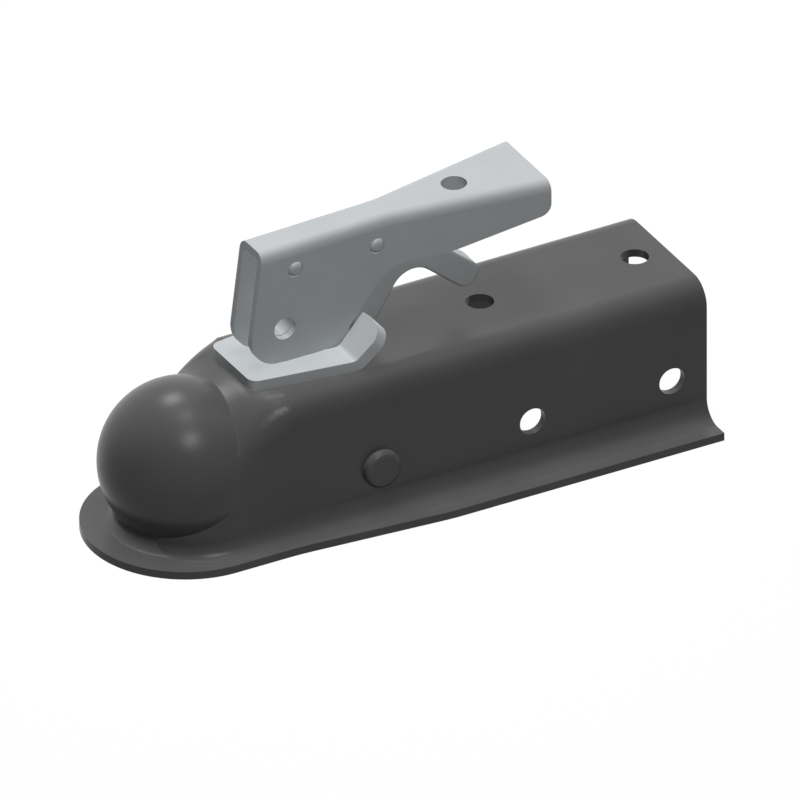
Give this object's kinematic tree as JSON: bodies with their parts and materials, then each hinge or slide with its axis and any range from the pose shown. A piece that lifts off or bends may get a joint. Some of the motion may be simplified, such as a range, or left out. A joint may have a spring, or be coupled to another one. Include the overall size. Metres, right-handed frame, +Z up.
{
  "type": "trailer coupling head",
  "caption": "Stamped-steel trailer coupling head with a ball socket, an over-centre latch lever, a finger trigger and a swinging ball clamp, for bolting to a channel tongue.",
  "frame": {"origin": "under the middle of the part's box, on the underside of the foot flange", "axes": "+X from the ball socket to the open rear end, +Y across, +Z up from the flange to the lever"},
  "size_m": [0.2349, 0.0858, 0.1111],
  "materials": {
    "body_paint": "satin charcoal black paint",
    "zinc": "bright zinc plate, satin",
    "cast_jaw": "as cast, lightly oiled",
    "bolt_steel": "zinc plated steel",
    "spring_steel": "oiled spring wire",
    "nylon": "plain nylon"
  },
  "bodies": {
    "housing": {"housing": "body_paint", "latch_plate": "zinc", "jaw_pivot_pin": "body_paint", "jaw_pivot_sleeve": "bolt_steel", "jaw_side_washer_left": "bolt_steel", "jaw_side_washer_right": "bolt_steel", "spring_seat_washer": "bolt_steel", "jaw_spring": "spring_steel"},
    "pull_bolt": {"pull_bolt": "bolt_steel", "adjusting_nut": "bolt_steel", "nut_insert": "nylon", "jaw_washer": "bolt_steel"},
    "lever": {"lever": "zinc", "lever_pivot_pin": "bolt_steel", "trigger_pin": "bolt_steel", "trigger_spring": "spring_steel"},
    "trigger": {"trigger": "zinc"},
    "jaw": {"ball_jaw": "cast_jaw"}
  },
  "joints": [
    {"name": "bolt_drop", "type": "slide", "parent": "housing", "child": "pull_bolt", "axis": [0, 0, -1], "range_m": [0, 0.0063]},
    {"name": "lever_lift", "type": "hinge", "parent": "pull_bolt", "child": "lever", "pos_m": [-0.03877, 0, 0.0988], "axis": [0, -1, 0], "range_deg": [0, 65]},
    {"name": "trigger_pull", "type": "hinge", "parent": "lever", "child": "trigger", "pos_m": [-0.00528, 0, 0.0988], "axis": [0, -1, 0], "range_deg": [0, 12], "stiffness_Nm_per_rad": 0.25, "springref_deg": -8.59, "deforming": ["trigger_spring"]},
    {"name": "jaw_swing", "type": "hinge", "parent": "housing", "child": "jaw", "pos_m": [-0.01628, 0, 0.0213], "axis": [0, -1, 0], "range_deg": [0, 15.88], "deforming": ["jaw_spring"]}
  ],
  "couplings": [
    {"joint": "bolt_drop", "follows": "lever_lift", "m_per_rad": 0.0055},
    {"joint": "jaw_swing", "follows": "lever_lift", "ratio": 0.2443}
  ]
}
